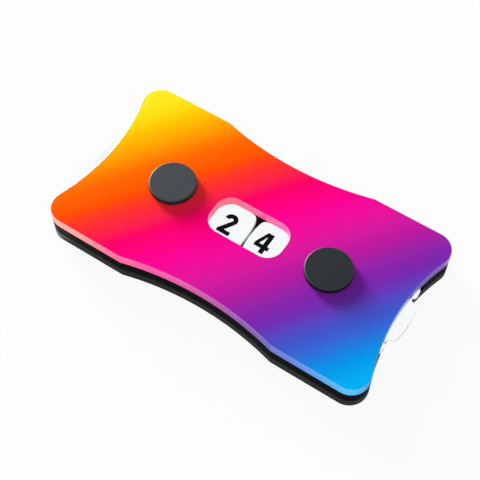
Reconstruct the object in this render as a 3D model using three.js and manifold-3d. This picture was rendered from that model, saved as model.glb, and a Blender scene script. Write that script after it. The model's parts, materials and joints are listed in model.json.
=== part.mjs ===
// Two-dial life counter: a printed cover over two numbered thumb dials, in millimetres.
// Origin: centre of the base plate's underside. +X along the case, +Y away from the reader, +Z up.

import * as THREE from 'three';
import { mergeVertices } from 'three/addons/utils/BufferGeometryUtils.js';
import Module from 'manifold-3d';

const wasm = await Module();
wasm.setup();

// Dials, which set the size of the case
const dialRadius = 22.8;
const dialThickness = 2;
const dialGap = 0.6;
const dialEdgeChamfer = 0.12;
const lobeCount = 10;
const notchWidth = 1.75;
const notchDepth = 1.6;
const lobeCornerLength = 2;
const tensShown = 2;
const onesShown = 4;

// Case outline round the dials
const dialToRail = 0.35;
const railWall = 1.5;
const dialTipInset = 0.1;
const cornerRadius = 5;
const endDip = 3.25;
const sideDip = 2.95;
const kinkToDialAxis = 1.1;

// Stack of sheets, with the dials between base and cover
const baseThickness = 3;
const dialToBase = 0.75;
const dialToFlange = 0.2;
const filmThickness = 0.15;
const coverThickness = 3;
const baseEdgeChamfer = 0.35;
const coverEdgeChamfer = 0.12;
const filmInset = 0.4;

// Window in the cover
const windowLength = 21.1;
const windowWidth = 11.2;
const windowCornerRadius = 4.3;

// Engraved digits, and how far the shown ones stand from the middle of the window
const digitHeight = 6.3;
const digitWidth = 4.15;
const digitStroke = 1.3;
const digitDepth = 0.2;
const tensDigitOffset = 6;
const tensDigitDrop = 0.25;
const onesDigitOffset = 5.4;
const onesDigitDrop = 0;
// How far a digit stands to the left of its place, as a share of its width
const digitLeftShares = { 4: 0.22 };

// Rails
const railTipTrim = 0.9;
const crestToWindow = 1;

// Knobs
const knobRadius = 6.2;
const knobThickness = 1.5;
const knobTopRound = 0.45;
const knobFootChamfer = 0.15;

// Stems, bushes and the parts that hold them
const stemRadius = 2;
const stemFlatDepth = 0.5;
const spigotRadius = 1.5;
const spigotLength = 0.8;
const pressFit = 0.05;
const runningFit = 0.08;
const faceGap = 0.1;
const coverBushWall = 0.8;
const flangeRadius = 4.2;
const flangeThickness = 0.2;
const baseBushWall = 0.75;
const washerRadius = 3.6;
const washerThickness = 0.4;
const stemScrewShankRadius = 1;
const stemScrewLength = 3;
const stemScrewHeadRadius = 1.9;
const stemScrewHeadHeight = 0.8;
const stemScrewRecess = 0.3;
const counterboreClearance = 0.4;
const threadFit = 0.1;

// Wave washers
const waveInnerRadius = 2.9;
const waveOuterRadius = 4.4;
const waveThickness = 0.2;
const waveCount = 3;

// Case screws and their inserts
const caseScrewShankRadius = 1.2;
const caseScrewHeadRadius = 2.3;
const caseScrewHeadHeight = 1.3;
const caseScrewTipGap = 0.6;
const headRecess = 0.1;
const screwHoleFit = 0.15;
const middleScrewToSide = 4.5;
const insertWall = 0.6;
const insertTopGap = 0.4;
const insertGrooveDepth = 0.2;
const socketRadius = 0.8;
const socketDepth = 0.7;

// Facet counts
const cornerTipSteps = 2;
const cornerSteps = 7;
const endArcSteps = 8;
const sideArcSteps = 8;
const windowCornerSteps = 8;
const dialWellSteps = 20;
const lobeCornerSteps = 5;
const lobeArcSteps = 4;
const strokeArcSteps = 12;
const knobSides = 40;
const knobRoundSteps = 3;
const boreSides = 24;
const screwSides = 16;
const insertSides = 12;
const socketSides = 6;
const waveSides = 36;

// What the cuts run past a face
const overrun = 1;

// Heights of the stack
const dialFoot = baseThickness + dialToBase;
const dialTop = dialFoot + dialThickness;
const coverFoot = dialTop + dialToFlange + flangeThickness;
const coverTop = coverFoot + coverThickness;
const filmFoot = coverFoot - filmThickness;
const railFoot = baseThickness;
const railThickness = filmFoot - railFoot;
const flangeFoot = coverFoot - flangeThickness;
const knobFoot = coverTop + faceGap;
const washerFoot = stemScrewRecess + stemScrewHeadHeight;
const washerTop = washerFoot + washerThickness;
const counterboreDepth = washerTop + faceGap;

// Colours, roughness and metalness by finish
const finishes = {
  printedAcrylic: { color: 0xf9058a, roughness: 0.18, metalness: 0 },
  whiteAcrylic: { color: 0xf4f5f7, roughness: 0.3, metalness: 0 },
  blackAcrylic: { color: 0x1d1e20, roughness: 0.25, metalness: 0 },
  charcoalAcrylic: { color: 0x2e3032, roughness: 0.28, metalness: 0 },
  charcoalPlastic: { color: 0x3c3f43, roughness: 0.55, metalness: 0 },
  adhesiveFilm: { color: 0xd9d9d2, roughness: 0.6, metalness: 0 },
  brass: { color: 0xb6954e, roughness: 0.35, metalness: 1 },
  steel: { color: 0x9da1a6, roughness: 0.3, metalness: 1 },
  acetal: { color: 0xe9e7e0, roughness: 0.45, metalness: 0 },
};

const group = new THREE.Group();

function add(name, geometry, finish, x = 0, y = 0, z = 0) {
  const mesh = new THREE.Mesh(geometry, new THREE.MeshStandardMaterial(finishes[finish]));
  mesh.name = name;
  mesh.position.set(x, y, z);
  group.add(mesh);
}

// Joins and cuts

function solid(geometry) {
  const bare = geometry.clone();
  bare.deleteAttribute('normal');
  bare.deleteAttribute('uv');
  const merged = mergeVertices(bare);
  const index = merged.index.array;
  const triangles = [];
  for (let i = 0; i < index.length; i += 3) {
    const [a, b, c] = index.slice(i, i + 3);
    if (a !== b && b !== c && c !== a) triangles.push(a, b, c);
  }
  return new wasm.Manifold(new wasm.Mesh({
    numProp: 3,
    vertProperties: merged.attributes.position.array,
    triVerts: new Uint32Array(triangles),
  }));
}

function surface(body) {
  const mesh = body.getMesh();
  const geometry = new THREE.BufferGeometry();
  geometry.setAttribute('position', new THREE.BufferAttribute(mesh.vertProperties, 3));
  geometry.setIndex(new THREE.BufferAttribute(mesh.triVerts, 1));
  geometry.computeVertexNormals();
  return geometry;
}

function cut(geometry, cutters) {
  return surface(cutters.reduce((body, cutter) => body.subtract(solid(cutter)), solid(geometry)));
}

// Outlines

function arc(x, y, radius, from, to, steps) {
  const points = [];
  for (let i = 0; i <= steps; i += 1) {
    const angle = from + (to - from) * i / steps;
    points.push(new THREE.Vector2(x + radius * Math.cos(angle), y + radius * Math.sin(angle)));
  }
  return points;
}

function turned(points) {
  return points.map((point) => new THREE.Vector2(-point.x, -point.y));
}

function mirrored(points) {
  return points.map((point) => new THREE.Vector2(-point.x, point.y)).reverse();
}

const dialX = dialRadius + dialGap / 2;
const wellRadius = dialRadius + dialToRail;
const tipX = dialX + dialRadius + dialTipInset;
const shoulderY = wellRadius + railWall;
const cornerX = tipX - cornerRadius;
const cornerY = shoulderY - cornerRadius;
const endReach = cornerX - endDip;
const endCentre = (cornerX ** 2 + cornerY ** 2 - endReach ** 2) / (2 * endDip);
const endRadius = endCentre - endReach - cornerRadius;
const endTangent = Math.atan2(cornerY, endCentre - cornerX);
const kinkX = dialX - kinkToDialAxis;
const sideWaistY = shoulderY - sideDip;
const sideRadius = (kinkX ** 2 + sideDip ** 2) / (2 * sideDip);
const sideCentre = sideWaistY + sideRadius;

// The outline's quarter from a height on the right end to the middle of the far side.
function quarterOutline(fromY, inset) {
  const radius = endRadius + inset;
  const sideArcRadius = sideRadius + inset;
  const sideRise = sideCentre - (shoulderY - inset);
  const kinkAngle = Math.acos(sideRise / sideArcRadius);
  const start = Math.PI - Math.asin(fromY / radius);
  return [
    ...arc(endCentre, 0, radius, start, Math.PI - endTangent, endArcSteps).slice(0, -1),
    ...arc(cornerX, cornerY, cornerRadius - inset, -endTangent, 0, cornerTipSteps).slice(0, -1),
    ...arc(cornerX, cornerY, cornerRadius - inset, 0, Math.PI / 2, cornerSteps),
    ...arc(0, sideCentre, sideArcRadius, kinkAngle - Math.PI / 2, -Math.PI / 2, sideArcSteps),
  ];
}

function caseOutline(inset = 0) {
  const quarter = quarterOutline(0, inset);
  const half = [...quarter.slice(0, -1), ...mirrored(quarter).slice(0, -1)];
  return [...half, ...turned(half)];
}

function windowOutline() {
  const x = windowLength / 2 - windowCornerRadius;
  const y = windowWidth / 2 - windowCornerRadius;
  const corner = (cx, cy, quarter) => arc(
    cx, cy, windowCornerRadius, quarter * Math.PI / 2, (quarter + 1) * Math.PI / 2, windowCornerSteps,
  );
  return [...corner(x, y, 0), ...corner(-x, y, 1), ...corner(-x, -y, 2), ...corner(x, -y, 3)];
}

function circleOutline(radius, x = 0, y = 0) {
  return arc(x, y, radius, 0, 2 * Math.PI, boreSides).slice(0, -1);
}

function dOutline(radius, flatX) {
  const half = Math.acos(flatX / radius);
  return arc(0, 0, radius, half, 2 * Math.PI - half, boreSides);
}

// A far rail: the case outline, less the two dial wells and the window's end between them.
// Its tip is trimmed a little beyond where the end arc and the well cross.
function railTipHeight(inset) {
  const end = endRadius + inset;
  const well = wellRadius + inset;
  const x = (endCentre ** 2 - end ** 2 - dialX ** 2 + well ** 2) / (2 * (endCentre - dialX));
  return Math.sqrt(well ** 2 - (x - dialX) ** 2) + railTipTrim;
}

function railOutline(inset = 0) {
  const tipY = railTipHeight(inset);
  const crestY = windowWidth / 2 + crestToWindow + inset;
  const radius = wellRadius + inset;
  const tipAngle = Math.asin(tipY / radius);
  const crestAngle = Math.asin(crestY / radius);
  const quarter = quarterOutline(tipY, inset);
  const leftWell = arc(-dialX, 0, radius, Math.PI - tipAngle, crestAngle, dialWellSteps);
  return [...quarter.slice(0, -1), ...mirrored(quarter), ...leftWell, ...mirrored(leftWell)];
}

// Plates

function plate(outline, holes, thickness, chamfer = 0) {
  const shape = new THREE.Shape(outline);
  shape.holes = holes.map((hole) => new THREE.Path(hole));
  const geometry = new THREE.ExtrudeGeometry(shape, {
    depth: thickness - 2 * chamfer,
    bevelEnabled: chamfer > 0,
    bevelThickness: chamfer,
    bevelSize: chamfer,
    bevelOffset: -chamfer,
    bevelSegments: 1,
  });
  geometry.translate(0, 0, chamfer);
  return geometry;
}

// A turned piece from a half profile of [radius, height] pairs, outer side going up.
function turnedPiece(profile, sides) {
  const points = profile.map(([radius, height]) => new THREE.Vector2(radius, height));
  const geometry = new THREE.LatheGeometry(points, sides);
  geometry.rotateX(Math.PI / 2);
  return geometry;
}

function ring(innerRadius, outerRadius, foot, top, sides) {
  return turnedPiece([
    [outerRadius, foot], [outerRadius, top], [innerRadius, top], [innerRadius, foot], [outerRadius, foot],
  ], sides);
}

function rod(radius, foot, top, sides) {
  return turnedPiece([[0, foot], [radius, foot], [radius, top], [0, top]], sides);
}

// Digits: strokes on centre lines, as shares of the digit's width and height from its centre.
// line: from x, y to x, y, then a share of the stroke where it is thinner. arc: centre x, y, radii, then
// from and to in degrees. loop: centre x and upper y, radii, lower y.
const digitStrokeShares = [
  [['loop', 0, 0.17, 0.308, 0.2375, -0.17]],
  [['line', 0.08, -0.6, 0.08, 0.6], ['line', 0.1, 0.4, -0.3, 0.215, 0.85]],
  [
    ['arc', 0, 0.235, 0.279, 0.172, 187, -36],
    ['line', 0.225, 0.135, -0.265, -0.36],
    ['line', -0.45, -0.408, 0.45, -0.408],
  ],
  [['arc', 0, 0.215, 0.265, 0.1925, 165, -90], ['arc', 0, -0.19, 0.3, 0.2175, 90, -168]],
  [
    ['line', 0.175, -0.6, 0.175, 0.6],
    ['line', -0.5, -0.19, 0.5, -0.19, 0.9],
    ['line', -0.4, -0.16, 0.043, 0.55, 0.76],
  ],
  [
    ['line', -0.36, 0.408, 0.4, 0.408],
    ['line', -0.25, 0.49, -0.285, -0.02, 0.95],
    ['arc', 0, -0.165, 0.3, 0.2425, 140, -165],
  ],
  [
    ['loop', 0, -0.13, 0.3, 0.1975, -0.21],
    ['arc', 0, 0.17, 0.3, 0.2375, 180, 22],
    ['line', -0.3, 0.175, -0.3, -0.2],
  ],
  [['line', -0.45, 0.408, 0.45, 0.408], ['line', 0.3, 0.38, -0.14, -0.6]],
  [
    ['loop', 0, 0.225, 0.26, 0.1825, 0.2],
    ['loop', 0, -0.17, 0.3, 0.1975, -0.21],
  ],
];

const halfTurn = 180;

function ellipseArc(x, y, radiusX, radiusY, from, to) {
  const unit = arc(0, 0, 1, THREE.MathUtils.degToRad(from), THREE.MathUtils.degToRad(to), strokeArcSteps);
  return unit.map((point) => new THREE.Vector2(
    (x + radiusX * point.x) * digitWidth,
    (y + radiusY * point.y) * digitHeight,
  ));
}

// The side of a stroke that lies an offset to the left of its centre line.
function strokeSide(points, offset, closed) {
  const last = points.length - 1;
  return points.map((point, i) => {
    const before = points[i > 0 ? i - 1 : (closed ? last : 0)];
    const after = points[i < last ? i + 1 : (closed ? 0 : last)];
    const along = after.clone().sub(before).normalize();
    return new THREE.Vector2(point.x - along.y * offset, point.y + along.x * offset);
  });
}

function strokeShape([kind, ...shares]) {
  if (kind === 'loop') {
    const [x, upperY, radiusX, radiusY, lowerY] = shares;
    const path = [
      ...ellipseArc(x, upperY, radiusX, radiusY, 0, halfTurn),
      ...ellipseArc(x, lowerY, radiusX, radiusY, halfTurn, 2 * halfTurn),
    ];
    const shape = new THREE.Shape(strokeSide(path, -digitStroke / 2, true));
    shape.holes = [new THREE.Path(strokeSide(path, digitStroke / 2, true))];
    return shape;
  }
  const isLine = kind === 'line';
  const thinned = isLine ? (shares[4] ?? 1) : 1;
  const path = isLine
    ? [
      new THREE.Vector2(shares[0] * digitWidth, shares[1] * digitHeight),
      new THREE.Vector2(shares[2] * digitWidth, shares[3] * digitHeight),
    ]
    : ellipseArc(...shares);
  const half = digitStroke * thinned / 2;
  return new THREE.Shape([
    ...strokeSide(path, half, false),
    ...strokeSide(path, -half, false).reverse(),
  ]);
}

function digitCutter(digit) {
  const isNine = digit === 9;
  const strokes = digitStrokeShares[isNine ? 6 : digit];
  const depth = digitDepth + overrun;
  const prisms = strokes.map((stroke) => solid(
    new THREE.ExtrudeGeometry(strokeShape(stroke), { depth, bevelEnabled: false }),
  ));
  const box = new THREE.BoxGeometry(digitWidth, digitHeight, depth + overrun);
  const clip = solid(box.translate(0, 0, (depth - overrun) / 2));
  const joined = prisms.reduce((body, prism) => body.add(prism)).intersect(clip);
  const geometry = surface(joined);
  if (isNine) geometry.rotateZ(Math.PI);
  return geometry;
}

// Dials

const lobePitch = 2 * Math.PI / lobeCount;

function lobedOutline() {
  const points = [];
  const notchHalf = notchWidth / 2 / dialRadius;
  const cornerAngle = lobeCornerLength / dialRadius;
  const polar = (radius, angle) => points.push(
    new THREE.Vector2(radius * Math.cos(angle), radius * Math.sin(angle)),
  );
  for (let lobe = 0; lobe < lobeCount; lobe += 1) {
    const start = (lobe - 1 / 2) * lobePitch + notchHalf;
    const end = (lobe + 1 / 2) * lobePitch - notchHalf;
    for (let i = 0; i <= lobeCornerSteps; i += 1) {
      const swing = Math.PI / 2 * i / lobeCornerSteps;
      polar(dialRadius - notchDepth * (1 - Math.sin(swing)), start + cornerAngle * (1 - Math.cos(swing)));
    }
    const flatStart = start + cornerAngle;
    const flatEnd = end - cornerAngle;
    for (let i = 1; i < lobeArcSteps; i += 1) {
      polar(dialRadius, flatStart + (flatEnd - flatStart) * i / lobeArcSteps);
    }
    for (let i = lobeCornerSteps; i >= 0; i -= 1) {
      const swing = Math.PI / 2 * i / lobeCornerSteps;
      polar(dialRadius - notchDepth * (1 - Math.sin(swing)), end - cornerAngle * (1 - Math.cos(swing)));
    }
  }
  return points;
}

const stemFlatX = stemRadius - stemFlatDepth;

function dial(shown, digitX, digitY) {
  const bore = dOutline(stemRadius + pressFit, stemFlatX + pressFit);
  const blank = plate(lobedOutline(), [bore], dialThickness, dialEdgeChamfer);
  const cutters = [];
  for (let digit = 0; digit < lobeCount; digit += 1) {
    const cutter = digitCutter(digit);
    const left = (digitLeftShares[digit] ?? 0) * digitWidth;
    cutter.translate(digitX - left, digitY, dialThickness - digitDepth);
    cutter.rotateZ(-(digit - shown) * lobePitch);
    cutters.push(cutter);
  }
  return cut(blank, cutters);
}

// Knob: a thin disc with a rounded rim and a blind seat for the stem's spigot.
function knob() {
  const seatRadius = spigotRadius + pressFit;
  const topRound = arc(
    knobRadius - knobTopRound, knobThickness - knobTopRound, knobTopRound, 0, Math.PI / 2, knobRoundSteps,
  );
  return turnedPiece([
    [0, spigotLength + faceGap],
    [seatRadius, spigotLength + faceGap],
    [seatRadius, 0],
    [knobRadius - knobFootChamfer, 0],
    [knobRadius, knobFootChamfer],
    ...topRound.map((point) => [point.x, point.y]),
    [0, knobThickness],
  ], knobSides);
}

// Stem: a shaft with a flat that drives the dial, a spigot for the knob and a hole for its screw.
const stemFoot = washerTop;
const stemShoulder = knobFoot;
const stemHoleDepth = stemScrewLength - washerThickness + faceGap;

function stem() {
  const shoulder = stemShoulder - stemFoot;
  const holeRadius = stemScrewShankRadius + threadFit;
  const shaft = turnedPiece([
    [0, stemHoleDepth], [holeRadius, stemHoleDepth], [holeRadius, 0], [stemRadius, 0],
    [stemRadius, shoulder], [spigotRadius, shoulder], [spigotRadius, shoulder + spigotLength],
    [0, shoulder + spigotLength],
  ], boreSides);
  const flatHeight = dialTop - stemFoot + overrun;
  const flat = new THREE.BoxGeometry(stemRadius, 2 * stemRadius + overrun, flatHeight);
  flat.translate(stemFlatX + stemRadius / 2, 0, flatHeight / 2 - overrun);
  return cut(shaft, [flat]);
}

// Wave washer: a flat ring bent into three waves, between the base plate and the dial.
function waveWasher() {
  const freeHeight = dialFoot - baseThickness - 2 * faceGap;
  const swing = (freeHeight - waveThickness) / 2;
  const geometry = ring(waveInnerRadius, waveOuterRadius, 0, waveThickness, waveSides);
  const position = geometry.attributes.position;
  for (let i = 0; i < position.count; i += 1) {
    const angle = Math.atan2(position.getY(i), position.getX(i));
    position.setZ(i, position.getZ(i) + swing * (1 + Math.cos(waveCount * angle)));
  }
  return geometry;
}

// Bushes. A cover bush has its flange under the cover, where the dial runs against it.

const bushBore = stemRadius + runningFit;
const coverBushRadius = bushBore + coverBushWall;
const baseBushRadius = bushBore + baseBushWall;

function coverBush() {
  const top = flangeThickness + coverThickness;
  return turnedPiece([
    [flangeRadius, 0], [flangeRadius, flangeThickness], [coverBushRadius, flangeThickness],
    [coverBushRadius, top], [bushBore, top], [bushBore, 0], [flangeRadius, 0],
  ], boreSides);
}

// Screws and inserts

function hexSocket(foot, top) {
  return rod(socketRadius, foot, top, socketSides);
}

function stemScrew() {
  const neck = stemScrewHeadHeight;
  const body = turnedPiece([
    [0, 0], [stemScrewHeadRadius, 0], [stemScrewHeadRadius, neck], [stemScrewShankRadius, neck],
    [stemScrewShankRadius, neck + stemScrewLength], [0, neck + stemScrewLength],
  ], screwSides);
  return cut(body, [hexSocket(-overrun, stemScrewHeadHeight - faceGap)]);
}

const caseScrewLength = baseThickness + railThickness - headRecess - caseScrewTipGap;

function caseScrew() {
  const body = turnedPiece([
    [0, 0], [caseScrewHeadRadius, 0], [caseScrewShankRadius, caseScrewHeadHeight],
    [caseScrewShankRadius, caseScrewLength], [0, caseScrewLength],
  ], screwSides);
  return cut(body, [hexSocket(-overrun, socketDepth)]);
}

const insertBore = caseScrewShankRadius + threadFit;
const insertRadius = insertBore + insertWall;
const insertLength = railThickness - insertTopGap;

function threadedInsert() {
  const waist = insertRadius - insertGrooveDepth;
  const third = insertLength / 3;
  return turnedPiece([
    [insertRadius, 0], [insertRadius, third], [waist, third], [waist, 2 * third],
    [insertRadius, 2 * third], [insertRadius, insertLength], [insertBore, insertLength],
    [insertBore, 0], [insertRadius, 0],
  ], insertSides);
}

// The corner screws stand midway between the dial well and the outside of the corner.
const cornerBearing = Math.atan2(cornerY, cornerX - dialX);
const cornerReach = Math.hypot(cornerX - dialX, cornerY) + cornerRadius;
const cornerScrewReach = (wellRadius + cornerReach) / 2;
const cornerScrewX = dialX + cornerScrewReach * Math.cos(cornerBearing);
const cornerScrewY = cornerScrewReach * Math.sin(cornerBearing);
const middleScrewY = sideWaistY - middleScrewToSide;
const screwPlaces = {
  far_left: [-cornerScrewX, cornerScrewY],
  far_middle: [0, middleScrewY],
  far_right: [cornerScrewX, cornerScrewY],
  near_left: [-cornerScrewX, -cornerScrewY],
  near_middle: [0, -middleScrewY],
  near_right: [cornerScrewX, -cornerScrewY],
};

// Base plate, with countersunk screw holes, and a counterbore and bush hole under each dial
function basePlate() {
  const cutters = [];
  const mouth = caseScrewHeadRadius + screwHoleFit;
  const neck = caseScrewShankRadius + screwHoleFit;
  const slope = (caseScrewHeadRadius - caseScrewShankRadius) / caseScrewHeadHeight;
  const coneFoot = headRecess;
  const coneTop = headRecess + caseScrewHeadHeight;
  for (const [x, y] of Object.values(screwPlaces)) {
    const countersink = turnedPiece([
      [0, -overrun], [mouth, -overrun], [mouth, coneFoot], [mouth - slope * (coneTop - coneFoot), coneTop],
      [neck, coneTop], [neck, baseThickness + overrun], [0, baseThickness + overrun],
    ], screwSides);
    cutters.push(countersink.translate(x, y, 0));
  }
  for (const x of [-dialX, dialX]) {
    const counterbore = rod(washerRadius + counterboreClearance, -overrun, counterboreDepth, boreSides);
    const hole = rod(baseBushRadius + pressFit, 0, baseThickness + overrun, boreSides);
    cutters.push(counterbore.translate(x, 0, 0), hole.translate(x, 0, 0));
  }
  return cut(plate(caseOutline(), [], baseThickness, baseEdgeChamfer), cutters);
}

// Rails, with through holes for the inserts
function rail(side) {
  const outline = side > 0 ? railOutline() : turned(railOutline());
  const places = Object.values(screwPlaces).filter(([, y]) => y * side > 0);
  const holes = places.map(([x, y]) => circleOutline(insertRadius + pressFit, x, y));
  return plate(outline, holes, railThickness);
}

function film(side) {
  const outline = railOutline(filmInset);
  return plate(side > 0 ? outline : turned(outline), [], filmThickness);
}

function coverPlate() {
  const holes = [windowOutline()];
  for (const x of [-dialX, dialX]) holes.push(circleOutline(coverBushRadius + pressFit, x));
  return plate(caseOutline(), holes, coverThickness, coverEdgeChamfer);
}

// Assembly

add('base_plate', basePlate(), 'charcoalAcrylic');
add('spacer_rail_far', rail(1), 'blackAcrylic', 0, 0, railFoot);
add('spacer_rail_near', rail(-1), 'blackAcrylic', 0, 0, railFoot);
add('bond_film_far', film(1), 'adhesiveFilm', 0, 0, filmFoot);
add('bond_film_near', film(-1), 'adhesiveFilm', 0, 0, filmFoot);
add('cover_plate', coverPlate(), 'printedAcrylic', 0, 0, coverFoot);

const counters = [
  { name: 'tens', x: -dialX, shown: tensShown, digitX: dialX - tensDigitOffset, digitY: -tensDigitDrop },
  { name: 'ones', x: dialX, shown: onesShown, digitX: onesDigitOffset - dialX, digitY: -onesDigitDrop },
];

for (const { name, x, shown, digitX, digitY } of counters) {
  add(`${name}_dial`, dial(shown, digitX, digitY), 'whiteAcrylic', x, 0, dialFoot);
  add(`${name}_knob`, knob(), 'charcoalPlastic', x, 0, knobFoot);
  add(`${name}_stem`, stem(), 'steel', x, 0, stemFoot);
  add(`${name}_cover_bush`, coverBush(), 'acetal', x, 0, flangeFoot);
  const baseBush = ring(bushBore, baseBushRadius, 0, baseThickness - counterboreDepth, boreSides);
  add(`${name}_base_bush`, baseBush, 'acetal', x, 0, counterboreDepth);
  add(`${name}_wave_washer`, waveWasher(), 'steel', x, 0, baseThickness + faceGap);
  const holeRadius = stemScrewShankRadius + threadFit;
  const washer = ring(holeRadius, washerRadius, 0, washerThickness, boreSides);
  add(`${name}_stem_washer`, washer, 'steel', x, 0, washerFoot);
  add(`${name}_stem_screw`, stemScrew(), 'steel', x, 0, washerFoot - stemScrewHeadHeight);
}

for (const [place, [x, y]] of Object.entries(screwPlaces)) {
  add(`case_screw_${place}`, caseScrew(), 'steel', x, y, headRecess);
  add(`insert_${place}`, threadedInsert(), 'brass', x, y, railFoot);
}

export default group;
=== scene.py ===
"""Two-dial life counter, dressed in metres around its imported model.

X runs along the case, Y away from the reader and Z up, from the middle of the base plate's underside.
"""

import json
import math

import bpy
from bpy.props import FloatProperty, FloatVectorProperty, IntProperty, PointerProperty
from mathutils import Color, Matrix, Vector
from mathutils.geometry import tessellate_polygon

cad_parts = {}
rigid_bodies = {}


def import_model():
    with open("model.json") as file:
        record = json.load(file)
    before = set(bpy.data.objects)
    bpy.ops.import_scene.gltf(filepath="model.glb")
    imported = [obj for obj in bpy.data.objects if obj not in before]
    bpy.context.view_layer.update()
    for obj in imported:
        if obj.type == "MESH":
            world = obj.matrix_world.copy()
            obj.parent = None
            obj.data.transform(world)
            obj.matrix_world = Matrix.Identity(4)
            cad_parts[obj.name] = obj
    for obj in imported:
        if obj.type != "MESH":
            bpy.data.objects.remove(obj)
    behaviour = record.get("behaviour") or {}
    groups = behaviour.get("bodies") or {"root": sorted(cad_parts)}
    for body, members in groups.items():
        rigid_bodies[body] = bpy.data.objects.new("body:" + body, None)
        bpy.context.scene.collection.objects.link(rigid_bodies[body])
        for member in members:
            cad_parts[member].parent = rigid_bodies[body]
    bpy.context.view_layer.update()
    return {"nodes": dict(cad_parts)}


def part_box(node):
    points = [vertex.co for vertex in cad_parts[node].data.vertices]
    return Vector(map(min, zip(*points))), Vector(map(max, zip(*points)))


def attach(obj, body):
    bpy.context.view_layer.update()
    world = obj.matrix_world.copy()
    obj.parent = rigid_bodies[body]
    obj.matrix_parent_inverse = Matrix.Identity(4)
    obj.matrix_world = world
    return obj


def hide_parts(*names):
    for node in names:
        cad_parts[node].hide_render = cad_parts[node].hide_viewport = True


bl_info = {
    "name": "Life Counter",
    "version": (1, 0, 0),
    "blender": (4, 5, 0),
    "location": "3D View > Sidebar > Life Counter",
    "description": "Shapes and finishes a two-dial life counter around its packed model",
    "category": "Add Mesh",
}

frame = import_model()

MM = 0.001
QUARTER_TURN = math.pi / 2
WHITE_LEVEL = 255

# Edges: where an outline has a corner, where a face ends, and which part of a side a rounding takes
KINK_ANGLE = math.radians(12)
SHARP_ANGLE = math.radians(27)
SIDE_PARTS = 3
MOUTH_STEPS = 2
TURNED_STEPS = 3
HEX_SIDES = 6
JOIN_DISTANCE = 0.001 * MM

# The stage in metres: from the middle of the table to its edge, and what the camera sees nearest
TABLE_REACH = 4
CLIP_START = 0.01

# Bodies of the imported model, and names of its pieces and of the finer ones in their place
CASE = "case"
DIALS = ("tens", "ones")
DIAL_NODES = tuple(dial + "_dial" for dial in DIALS)
RAIL_SIDES = ("far", "near")
SCREW_PLACES = [f"{side}_{end}" for side in RAIL_SIDES for end in ("left", "middle", "right")]
CASE_SCREWS = ["case_screw_" + place for place in SCREW_PLACES]
INSERTS = ["insert_" + place for place in SCREW_PLACES]
FINISHED = "_finished"


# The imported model


def middle(node):
    """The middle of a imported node's box."""
    low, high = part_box(node)
    return (low + high) / 2


def half_width(node):
    """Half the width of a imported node's box, which is a round piece's radius."""
    low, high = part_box(node)
    return (high.x - low.x) / 2


DIAL_X = middle("ones_stem").x


# Settings


def shade(name, description, *levels):
    """A colour setting, given by its screen levels from 0 to 255."""
    colour = Color([level / WHITE_LEVEL for level in levels]).from_srgb_to_scene_linear()
    return FloatVectorProperty(
        name=name, description=description, default=colour[:], subtype="COLOR", min=0, max=1
    )


def length(name, description, millimetres):
    """A length setting, given in millimetres."""
    return FloatProperty(
        name=name, description=description, default=millimetres * MM, min=0,
        subtype="DISTANCE", unit="LENGTH",
    )


def angle(name, description, degrees):
    """An angle setting, given in degrees."""
    return FloatProperty(
        name=name, description=description, default=math.radians(degrees),
        subtype="ANGLE", unit="ROTATION",
    )


def strength(name, description, default):
    """A lamp's strength."""
    return FloatProperty(name=name, description=description, default=default, min=0)


def share(name, description, default):
    """A setting from nothing to all."""
    return FloatProperty(
        name=name, description=description, default=default, min=0, max=1, subtype="FACTOR"
    )


def count(name, description, default):
    """A whole number of steps."""
    return IntProperty(name=name, description=description, default=default, min=1)


class LifeCounterCase(bpy.types.PropertyGroup):
    """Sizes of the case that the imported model's boxes don't give."""

    corner_radius: length("Corner radius", "Radius of the case's four corners", 5)
    end_dip: length("End dip", "How far each end curves in at its middle", 3.25)
    side_dip: length("Side dip", "How far each long side curves in at its middle", 2.95)
    kink_to_axis: length("Kink to axis", "From a dial's axis to where the side starts to curve in", 1.1)
    rail_wall: length("Rail wall", "Thinnest wall of a rail, beside a dial", 1.5)
    rail_tip_trim: length("Rail tip trim", "How much of a rail's pointed tips is cut off", 0.9)
    crest_to_window: length("Crest to window", "From the window to the flat crest between the wells", 1)
    window_length: length("Window length", "Window in the cover, along the case", 21.1)
    window_width: length("Window width", "Window in the cover, across the case", 11.2)
    window_corner: length("Window corner", "Radius of the window's corners", 4.3)
    press_fit: length("Press fit", "Room round a piece that is pressed into a sheet", 0.05)
    countersink_fit: length("Countersink fit", "Room round a case screw", 0.15)
    counterbore_fit: length("Counterbore fit", "Room round a stem washer", 0.4)
    cover_round: length("Cover edge", "Rounding of the cover's polished edges", 0.2)
    window_round: length("Window edge", "Rounding of the window's crisp edges", 0.03)
    base_round: length("Base edge", "Rounding of the base plate's broken edges", 0.35)
    rail_round: length("Rail edge", "Rounding of the rails' edges", 0.06)
    arc_steps: count("Arc steps", "Steps along each curved end and side", 24)
    corner_steps: count("Corner steps", "Steps round each corner", 16)
    round_steps: count("Rounding steps", "Steps across each rounded edge", 4)


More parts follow.
